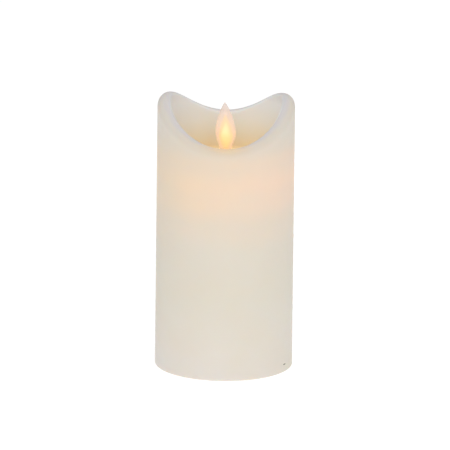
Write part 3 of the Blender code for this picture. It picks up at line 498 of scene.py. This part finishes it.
def flame(shell, middle, core):
    """The frosted flame on its collar, with two glowing layers inside it."""
    rows, swell = 44, TIP_HEIGHT - 0.2 - NECK_HEIGHT
    outline = [(0, 113.9), (2.4, 113.9), (2.4, 111.5), (3.2, 111.5)]
    outline += [(3.2, 112.5), (3.0, 112.9), (2.55, 114.2)]
    outline += [(flame_radius(z), z) for z in [NECK_HEIGHT + swell * i / rows for i in range(rows + 1)]]
    bm = bmesh.new()
    add_leant(bm, [*outline, (0, TIP_HEIGHT)])
    finish_piece("flame", bm, "flame", ["flame_diffuser"], shell, sharp=60)
    flame_layer("flame_inner_glow", 1.9, 114.3, 4.0, middle)
    flame_layer("flame_core_glow", 3.3, 119.0, 6.5, core)


# ---------------------------------------------------------------- moulded and pressed pieces


def softened(node, body, finish, edge):
    """A copy of a CAD piece, its sharp edges eased by `edge` millimetres, or left as they are at 0."""
    bm = bmesh.new()
    bm.from_mesh(frame["nodes"][node].data)
    bmesh.ops.remove_doubles(bm, verts=bm.verts, dist=0.000002)
    bmesh.ops.dissolve_limit(bm, angle_limit=math.radians(1), verts=bm.verts, edges=bm.edges)
    bmesh.ops.scale(bm, vec=(1 / MM,) * 3, verts=bm.verts)
    angle = 38
    obj = finish_piece(node + "_eased", bm, body, [node], finish, sharp=angle)
    if edge:
        ease = obj.modifiers.new("eased_edges", "BEVEL")
        ease.width = edge * MM
        ease.segments = 2
        ease.limit_method = "ANGLE"
        ease.angle_limit = math.radians(angle)


def middle_of(node):
    """The middle and the two corners of a node's box, in millimetres."""
    low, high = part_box(node)
    return (low + high) / (2 * MM), low / MM, high / MM


def add_screw(bm, node, head_up, shank):
    """A pan-head screw with a cross recess and a threaded shank, in the place of its node."""
    centre, low, high = middle_of(node)
    radius = (high.x - low.x) / 2
    length = high.z - low.z
    before = set(bm.verts)
    slit, reach = radius * 0.13, radius * 0.62
    add_turned(bm, [(0, -0.5), (radius, -0.5), (radius, -1.2), (0, -1.2)], 32, closed=False)
    edge = radius * 0.95
    add_turned(bm, [(reach, -0.09), (radius * 0.8, -0.2), (edge, -0.45), (edge, -0.55), (reach, -0.55)], 32)
    for turn in range(4):
        start = set(bm.verts)
        add_turned(bm, [(0, 0), (reach, -0.1), (reach, -0.6), (0, -0.6)], 32, closed=False)
        part = [v for v in bm.verts if v not in start]
        for normal in ((1, 0, 0), (0, 1, 0)):
            geom = part + list({e for v in part for e in v.link_edges})
            geom += list({f for v in part for f in v.link_faces})
            side = [c * slit for c in normal]
            bmesh.ops.bisect_plane(
                bm, geom=geom, dist=0.0001, plane_co=side, plane_no=normal, clear_inner=True
            )
            part = [v for v in bm.verts if v not in start]
            rim = [e for e in {e for v in part for e in v.link_edges} if e.is_boundary]
            bmesh.ops.holes_fill(bm, edges=rim)
        bmesh.ops.rotate(bm, matrix=Matrix.Rotation(math.pi / 2 * turn, 3, "Z"), verts=part)
    thread = [(0, -1.1), (shank * 0.8, -1.1)]
    z = -1.3
    while z > -length + shank + 0.3:
        thread += [(shank * 0.78, z), (shank, z - 0.22), (shank * 0.78, z - 0.44)]
        z -= 0.5
    thread += [(shank * 0.7, z), (0, -length)]
    add_turned(bm, thread, 20, closed=False)
    made = [v for v in bm.verts if v not in before]
    set_down(bm, made, (centre.x, centre.y, high.z if head_up else low.z), not head_up)


def screws(finish):
    for kind, count, head_up, shank in (
        ("holder_screws", 2, False, 1.0),
        ("switch_screws", 2, True, 0.9),
        ("mount_screws", 2, True, 0.9),
        ("module_screws", 3, True, 0.9),
        ("board_screws", 3, True, 0.7),
    ):
        for number in range(1, count + 1):
            node = f"{kind}_{number}"
            bm = bmesh.new()
            add_screw(bm, node, head_up, shank)
            finish_piece(node + "_cross_head", bm, "candle", [node], finish)


def add_tube(bm, points, radius, sides=12):
    """A round wire along points, with closed ends."""
    points = [Vector(p) for p in points]
    rings, side_way = [], None
    for i, point in enumerate(points):
        along = (points[min(i + 1, len(points) - 1)] - points[max(i - 1, 0)]).normalized()
        across = along.orthogonal() if side_way is None else side_way - along * side_way.dot(along)
        side_way = across.normalized()
        up_way = along.cross(side_way)
        ring = []
        for k in range(sides):
            a = math.tau * k / sides
            ring.append(bm.verts.new(point + (side_way * math.cos(a) + up_way * math.sin(a)) * radius))
        rings.append([bm.edges.new((ring[k], ring[(k + 1) % sides])) for k in range(sides)])
    for one, two in zip(rings, rings[1:]):
        bmesh.ops.bridge_loops(bm, edges=one + two)
    for ring in (rings[0], rings[-1]):
        bmesh.ops.edgeloop_fill(bm, edges=ring)
    bmesh.ops.recalc_face_normals(bm, faces=bm.faces)


def cone_spring(node, body, flipped, finish):
    """A conical contact spring: an end turn lying flat, two open turns and a small closed turn."""
    centre, low, high = middle_of(node)
    wire = 0.34
    turns, per_turn = 3.5, 20
    x = math.copysign(CELL_X, centre.x)
    points = []
    for i in range(round(turns * per_turn) + 1):
        t = i / (turns * per_turn)
        rise = min(1.0, max(0.0, (t * turns - 0.6) / (turns - 1.3)))
        radius = 3.15 - 1.1 * rise
        angle = math.tau * turns * t
        z = low.z + wire + (high.z - low.z - 2 * wire) * (1 - rise if flipped else rise)
        points.append((x + radius * math.cos(angle), HOLDER_Y + radius * math.sin(angle), z))
    bm = bmesh.new()
    add_tube(bm, points, wire)
    finish_piece(node + "_wound", bm, body, [node], finish, sharp=60)


def battery_cells(jacket_finish, can_finish):
    """AA cells: a steel can with a cap at one end and a base at the other, in a jacket shrunk over it."""
    for node, nub_up in (("battery_left", False), ("battery_right", True)):
        centre, low, high = middle_of(node)
        length = high.z - low.z
        foot = -length
        can = [(0, 0), (2.3, 0), (2.65, -0.15), (2.75, -1.15), (4.6, -1.2)]
        can += [(4.8, -1.45), (5.9, -1.45), (6.1, -1.25), (6.6, -1.35)]
        can += [(6.6, foot + 0.3), (6.1, foot + 0.2), (5.9, foot + 0.4), (5.2, foot + 0.35)]
        can += [(4.9, foot), (0, foot)]
        jacket = [(6.25, -1.2), (6.7, -1.2), (7.02, -1.4), (7.1, -1.75)]
        jacket += line((7.1, -1.75), (7.1, foot + 0.9), 10)
        jacket += [(7.0, foot + 0.35), (6.6, foot + 0.12), (6.25, foot + 0.12)]
        jacket += [(6.25, foot + 0.8), (6.25, -1.6)]
        for part, outline, closed, finish, slot in (
            ("can", can, False, can_finish, "steel"),
            ("jacket", jacket, True, jacket_finish, "cell_jacket"),
        ):
            bm = bmesh.new()
            made = add_turned(bm, outline, 56, closed=closed)
            set_down(bm, made, (centre.x, centre.y, high.z if nub_up else low.z), not nub_up)
            finish_piece(f"{node}_{part}", bm, "candle", [node] if part == "jacket" else [], finish)


def coil(finish):
    """The drive coil's turns, wound tight and level between the spool's flanges."""
    _, low, high = middle_of("coil_winding")
    outer, inner, turns = 7.45, 4.5, 18
    pitch = (high.z - low.z) / turns
    outline = [(inner, high.z), (outer - 0.15, high.z)]
    for i in range(turns):
        z = high.z - i * pitch
        for inset, share in ((0.02, 0.3), (0, 0.5), (0.02, 0.7), (0.14, 1)):
            outline.append((outer - inset, z - pitch * share))
    outline += [(inner, low.z)]
    bm = bmesh.new()
    add_turned(bm, outline, 64)
    finish_piece("coil_turns", bm, "candle", ["coil_winding"], finish, sharp=70)


def capacitor(finish):
    """The electrolytic capacitor: a sleeved can with a groove above its foot and a ringed top."""
    centre, low, high = middle_of("smoothing_capacitor")
    top, foot, sleeve, groove = high.z, low.z, 2.48, 2.3
    outline = [(0, top - 0.08), (0.9, top - 0.08), (1.0, top - 0.14), (1.1, top - 0.08)]
    outline += [(1.9, top - 0.08), (2.1, top), (2.4, top - 0.08), (sleeve, top - 0.3), (sleeve, foot + 1.3)]
    outline += [(groove, foot + 1.05), (groove, foot + 0.85), (sleeve, foot + 0.6), (2.45, foot), (0, foot)]
    bm = bmesh.new()
    add_turned(bm, outline, 40, (centre.x, centre.y), closed=False)
    finish_piece("capacitor_can", bm, "candle", ["smoothing_capacitor"], finish)


def chip_with_legs(finish, metal):
    """The timer chip: its body and eight short legs."""
    centre, low, high = middle_of("timer_chip")
    bm = bmesh.new()
    add_box(bm, (-2.3, -1.75, low.z + 0.05), (2.3, 1.75, high.z), 0.12)
    turn = Matrix.Translation((centre.x, centre.y, 0)) @ Matrix.Rotation(math.radians(120), 4, "Z")
    bmesh.ops.transform(bm, matrix=turn, verts=bm.verts)
    finish_piece("timer_chip_body", bm, "candle", ["timer_chip"], finish)
    bm = bmesh.new()
    for i in range(4):
        x = -1.65 + 1.1 * i
        for side in (-1, 1):
            y0, y1 = sorted((side * 1.7, side * 2.0))
            add_box(bm, (x - 0.2, y0, low.z - 0.1), (x + 0.2, y1, low.z + 0.75), 0.05)
    bmesh.ops.transform(bm, matrix=turn, verts=bm.verts)
    finish_piece("timer_chip_legs", bm, "candle", [], metal)


def solder_joints(finish):
    """Domes of solder on the driver board's two sides and on the switch's board."""
    _, board_low, board_high = middle_of("driver_board")
    _, _, switch_high = middle_of("switch_board")
    spots = [(x, -11.6, board_high.z, False) for x in (1.3, -1.3)]
    spots += [(x, -10.5, board_low.z, True) for x in (1.35, -1.35)]
    spots += [(x, SWITCH_Y, switch_high.z, False) for x in (-3, 3, 0)]
    outline = [(0, 0.3), (0.35, 0.28), (0.62, 0.14), (0.85, 0.02), (0.85, 0), (0, 0)]
    bm = bmesh.new()
    for *place, upside_down in spots:
        set_down(bm, add_turned(bm, outline, 20, closed=False), place, upside_down)
    finish_piece("solder_joints", bm, "candle", [], finish)


def switch_knob(finish):
    """The slide switch's slider: a ribbed knob on a stem, and the shoe that slides in the case."""
    x, y = -2.0, SWITCH_Y
    bm = bmesh.new()
    add_box(bm, (x - 1.5, y - 1.3, 0.75), (x + 1.5, y + 1.3, 6.7), 0.15)
    for i in range(4):
        rib = x - 1.12 + 0.75 * i
        add_box(bm, (rib - 0.18, y - 1.2, 0.5), (rib + 0.18, y + 1.2, 0.9), 0.08)
    add_box(bm, (x - 3, y - 2, 6.1), (x + 3, y + 2, 8.9), 0.2)
    finish_piece("switch_knob", bm, "slider", ["switch_slider"], finish)


def add_sign(bm, outline, z, proud):
    """A flat sign standing proud of a surface that faces down, from its outline."""
    face = bm.faces.new([bm.verts.new((x, y, z - proud)) for x, y in outline])
    raised = bmesh.ops.extrude_face_region(bm, geom=[face])["geom"]
    upper = [v for v in raised if isinstance(v, bmesh.types.BMVert)]
    bmesh.ops.translate(bm, vec=(0, 0, proud + 0.1), verts=upper)
    bmesh.ops.recalc_face_normals(bm, faces=bm.faces)


def add_ring_sign(bm, outer, width, z, proud, steps, centre=(0, 0)):
    """A raised ring on a surface that faces down."""
    inner, sunk, low = outer - width, z + 0.05, z - proud
    add_turned(bm, [(outer, sunk), (outer, low), (inner, low), (inner, sunk)], steps, centre)


def add_strip_sign(bm, x0, y0, x1, y1, z, proud):
    """A raised rectangle on a surface that faces down."""
    add_sign(bm, [(x0, y0), (x1, y0), (x1, y1), (x0, y1)], z, proud)


def base_marks(finish):
    """Raised on the base: two rings, and the switch's signs, which are a bar, a ring and a clock."""
    z, y = BASE_UNDERSIDE, SWITCH_Y - 4.5
    bm = bmesh.new()
    for radius in (30.6, 27.4):
        add_ring_sign(bm, radius, 0.5, z, 0.12, 96)
    add_strip_sign(bm, -3.25, y - 1, -2.75, y + 1, z, 0.16)
    for x, outer in ((0, 1.0), (3.2, 1.15)):
        add_ring_sign(bm, outer, 0.35, z, 0.16, 32, (x, y))
    hands = [(3.1, y - 0.1), (3.7, y - 0.1), (3.7, y + 0.1), (3.3, y + 0.1), (3.3, y + 0.7), (3.1, y + 0.7)]
    add_sign(bm, hands, z, 0.14)
    finish_piece("base_marks", bm, "candle", [], finish)


def door_marks(finish):
    """Raised on the battery door: an arrow, grip ribs on the latch and a frame."""
    z = DOOR_UNDERSIDE
    bm = bmesh.new()
    arrow = [(0, -2.2), (2.1, 1.2), (0.7, 1.2), (0.7, 6.6), (-0.7, 6.6), (-0.7, 1.2), (-2.1, 1.2)]
    add_sign(bm, arrow, z, 0.18)
    for i in range(4):
        grip = -8.4 + 0.8 * i
        add_box(bm, (-4.2, grip - 0.15, z - 0.2), (4.2, grip + 0.15, z + 0.05), 0.08)
    for y in (-4.7, 11.2):
        add_strip_sign(bm, -16.2, y, 16.2, y + 0.3, z, 0.12)
    for x in (-16.2, 15.9):
        add_strip_sign(bm, x, -4.3, x + 0.3, 11.1, z, 0.12)
    finish_piece("door_marks", bm, "door", [], finish)


def led_lamp(finish):
    """The LED: a domed lens on its round flange, tilted back at the flame."""
    base, tip = Vector((0, -10.8, 99.5)), Vector((0, -10.2, 102.5))
    along = (tip - base).normalized()
    bm = bmesh.new()
    outline = arc((0, 3.8), 1.5, 90, 0, 8)
    outline[0] = (0, 5.3)
    outline += [(1.5, 1.0), (1.65, 1.0), (1.9, 0.85), (1.9, 0.1), (1.8, 0), (0, 0)]
    made = add_turned(bm, outline, 36, closed=False)
    turn = along.to_track_quat("Z", "Y").to_matrix().to_4x4()
    bmesh.ops.transform(bm, matrix=Matrix.Translation(base - along * 1.3) @ turn, verts=made)
    finish_piece("led_lamp", bm, "candle", ["flame_led"], finish, sharp=50)


def magnet(finish):
    """The disc magnet, its edges eased."""
    _, low, high = middle_of("swing_magnet")
    bm = bmesh.new()
    outline = [(0, high.z), (3.5, high.z), (3.8, high.z - 0.1), (3.9, high.z - 0.4)]
    outline += [(3.9, low.z + 0.4), (3.8, low.z + 0.1), (3.5, low.z), (0, low.z)]
    add_turned(bm, outline, 48, closed=False)
    finish_piece("magnet_disc", bm, "flame", ["swing_magnet"], finish)


def pins(finish):
    """Ground pins with domed ends."""
    for node, body, way in (
        ("gimbal_pin_left", "candle", "x"),
        ("gimbal_pin_right", "candle", "x"),
        ("sway_pin", "flame", "y"),
        ("door_hinge_pin", "candle", "x"),
    ):
        centre, low, high = middle_of(node)
        radius = (high.z - low.z) / 2
        half = ((high.x - low.x) if way == "x" else (high.y - low.y)) / 2
        bm = bmesh.new()
        outline = [(0, half), (radius * 0.6, half - 0.05)]
        outline += [(radius * 0.95, half - 0.3), (radius * 0.98, half - 0.5)]
        outline += [(r, -z) for r, z in reversed(outline)]
        made = add_turned(bm, outline, 28, closed=False)
        turn = Matrix.Rotation(math.pi / 2, 3, "Y" if way == "x" else "X")
        bmesh.ops.rotate(bm, matrix=turn, verts=made)
        bmesh.ops.translate(bm, vec=centre, verts=made)
        finish_piece(node + "_ground", bm, body, [node], finish, sharp=60)


# ---------------------------------------------------------------- studio


def studio():
    """White surroundings, a bright floor and two soft lamps."""
    scene = bpy.context.scene
    world = bpy.data.worlds.new("studio")
    scene.world = world
    world.use_nodes = True
    world.node_tree.nodes["Background"].inputs["Color"].default_value = (1.0, 1.0, 1.0, 1)
    world.node_tree.nodes["Background"].inputs["Strength"].default_value = 0.43

    bm = bmesh.new()
    bmesh.ops.create_circle(bm, cap_ends=True, segments=96, radius=6)
    mesh = bpy.data.meshes.new("floor")
    bm.to_mesh(mesh)
    bm.free()
    floor_finish = Finish("white_floor", (0.45, 0.45, 0.45), 0.9)
    floor_finish.shader.inputs["Specular IOR Level"].default_value = 0.0
    floor_finish.shader.inputs["Emission Color"].default_value = (1, 1, 1, 1)
    floor_finish.shader.inputs["Emission Strength"].default_value = 0.75
    mesh.materials.append(floor_finish.material)
    floor = bpy.data.objects.new("floor", mesh)
    scene.collection.objects.link(floor)

    def softbox(name, place, aim, size, power):
        light = bpy.data.lights.new(name, "AREA")
        light.shape = "RECTANGLE"
        light.size, light.size_y = size
        light.energy = power
        lamp = bpy.data.objects.new(name, light)
        lamp.location = place
        lamp.rotation_euler = (Vector(aim) - Vector(place)).to_track_quat("-Z", "Y").to_euler()
        scene.collection.objects.link(lamp)

    softbox("front_softbox", (0.05, -1.5, 0.9), (0, 0, 0.08), (1.1, 1.1), 6.8)
    softbox("top_softbox", (0.1, 0.2, 1.6), (0, 0, 0), (1.6, 1.6), 7)
    scene.view_settings.view_transform = "Standard"


# How far the camera's middle lies from the foot of the axis, in metres across and up the view
AIM_RIGHT, AIM_UP = 0.0008743, 0.0750820


def camera():
    """A long lens at the front, looking down and tipped so that the candle leans right a little."""
    elevation, tip, distance = math.radians(14.5), math.radians(0.65), 3.0
    look = Vector((0, math.cos(elevation), -math.sin(elevation)))
    level, upright = Vector((1, 0, 0)), Vector((0, math.sin(elevation), math.cos(elevation)))
    right = level * math.cos(tip) + upright * math.sin(tip)
    up = upright * math.cos(tip) - level * math.sin(tip)
    aim = right * AIM_RIGHT + up * AIM_UP
    data = bpy.data.cameras.new("camera")
    data.sensor_width = 36
    data.lens = 439.2
    data.clip_end = 30
    cam = bpy.data.objects.new("camera", data)
    facing = Matrix((right, up, -look)).transposed().to_4x4()
    cam.matrix_world = Matrix.Translation(aim - look * distance) @ facing
    bpy.context.scene.collection.objects.link(cam)
    bpy.context.scene.camera = cam


# ---------------------------------------------------------------- assembly

finishes = {
    "ivory_plastic": plastic_finish("ivory_plastic", linear(236, 228, 212)),
    "black_plastic": plastic_finish("black_plastic", (0.03, 0.03, 0.032), 0.42),
    "led_resin": glow_finish(
        "led_resin",
        0.0,
        [(0.0, linear(255, 205, 130)), (1.0, linear(255, 225, 160))],
        (1.0, 0.85, 0.5),
        [(0.0, 0.4), (1.0, 1.6)],
        low=0.098,
        high=0.105,
        roughness=0.15,
    ),
    "steel": metal_finish("zinc_steel", (0.62, 0.63, 0.65)),
    "nickel_plate": metal_finish("nickel_plate", (0.75, 0.73, 0.68), 0.25),
    "magnet_plate": metal_finish("bright_nickel", (0.72, 0.72, 0.74), 0.15),
    "copper": metal_finish("enamelled_copper", (0.72, 0.30, 0.12), 0.3, (400, 400, 5000)),
    "circuit_board": board_finish(),
    "cell_jacket": cell_finish(),
    "chip_ceramic": plastic_finish("chip_package", (0.03, 0.03, 0.033), 0.55),
    "capacitor_sleeve": plastic_finish("capacitor_sleeve", (0.02, 0.03, 0.10), 0.35),
    "red_insulation": plastic_finish("red_insulation", (0.5, 0.02, 0.02), 0.4),
    "black_insulation": plastic_finish("black_insulation", (0.02, 0.02, 0.02), 0.4),
    "white_insulation": plastic_finish("white_insulation", (0.75, 0.75, 0.72), 0.4),
    "wax": wax_finish(),
}
finishes["flame_plastic"] = glow_finish(
    "flame_shell",
    0.5,
    [
        (0.0, linear(255, 200, 125)),
        (0.35, linear(247, 208, 178)),
        (0.6, linear(244, 214, 200)),
        (1.0, linear(240, 222, 212)),
    ],
    linear(240, 222, 212),
    [(0.0, 0.30), (0.4, 0.34), (0.7, 0.32), (0.82, 0.24), (0.9, 0.08), (1.0, 0.02)],
)
glow_middle = glow_finish(
    "flame_inner_glow",
    0.5,
    [
        (0.0, linear(255, 190, 70)),
        (0.4, linear(255, 215, 85)),
        (0.7, linear(255, 228, 120)),
        (1.0, linear(250, 228, 190)),
    ],
    linear(240, 212, 142),
    [(0.0, 0.30), (0.4, 0.45), (0.7, 0.38), (1.0, 0.12)],
)
glow_core = glow_finish(
    "flame_core_glow",
    0.2,
    [
        (0.0, linear(255, 195, 70)),
        (0.35, linear(255, 206, 78)),
        (0.55, linear(255, 236, 182)),
        (0.75, linear(255, 230, 120)),
        (1.0, linear(255, 230, 185)),
    ],
    linear(240, 212, 132),
    [(0.0, 0.33), (0.35, 0.62), (0.55, 1.1), (0.75, 0.75), (1.0, 0.35)],
)

slot_of = {part["node"]: part["material_slot"] for part in frame["record"]["subparts"]}
for node, obj in frame["nodes"].items():
    obj.data.materials.clear()
    obj.data.materials.append(finishes[slot_of[node]])

wax_pillar(finishes["wax"])
flame(finishes["flame_plastic"], glow_middle, glow_core)
screws(finishes["steel"])
cone_spring("bridge_spring", "door", False, finishes["steel"])
cone_spring("negative_spring", "candle", True, finishes["steel"])
battery_cells(finishes["cell_jacket"], finishes["magnet_plate"])
coil(finishes["copper"])
capacitor(finishes["capacitor_sleeve"])
chip_with_legs(finishes["chip_ceramic"], finishes["steel"])
solder_joints(finishes["steel"])
switch_knob(finishes["black_plastic"])
base_marks(finishes["ivory_plastic"])
door_marks(finishes["ivory_plastic"])
led_lamp(finishes["led_resin"])
magnet(finishes["magnet_plate"])
pins(finishes["steel"])

body_of = {node: body for body, nodes in frame["record"]["behaviour"]["bodies"].items() for node in nodes}
eased = {
    "base_plate": 0.2, "battery_door": 0.15, "battery_holder": 0.2, "module_cup": 0.2, "module_cap": 0.2,
    "flame_bezel": 0.15, "coil_bobbin": 0.12, "gimbal_ring": 0.12, "flame_carrier": 0.12,
    "bridge_contact": 0.06, "negative_terminal": 0.06, "positive_terminal": 0.06, "switch_case": 0.15,
    "switch_board": 0.06, "driver_board": 0.06, "timer_crystal": 0.15,
    "chip_resistor_1": 0.05, "chip_resistor_2": 0.05, "chip_resistor_3": 0.05, "chip_resistor_4": 0.05,
    "lead_positive": 0, "lead_negative": 0, "lead_switched": 0, "led_lead_left": 0, "led_lead_right": 0,
}
for node, edge in eased.items():
    softened(node, body_of[node], finishes[slot_of[node]], edge)

studio()
camera()
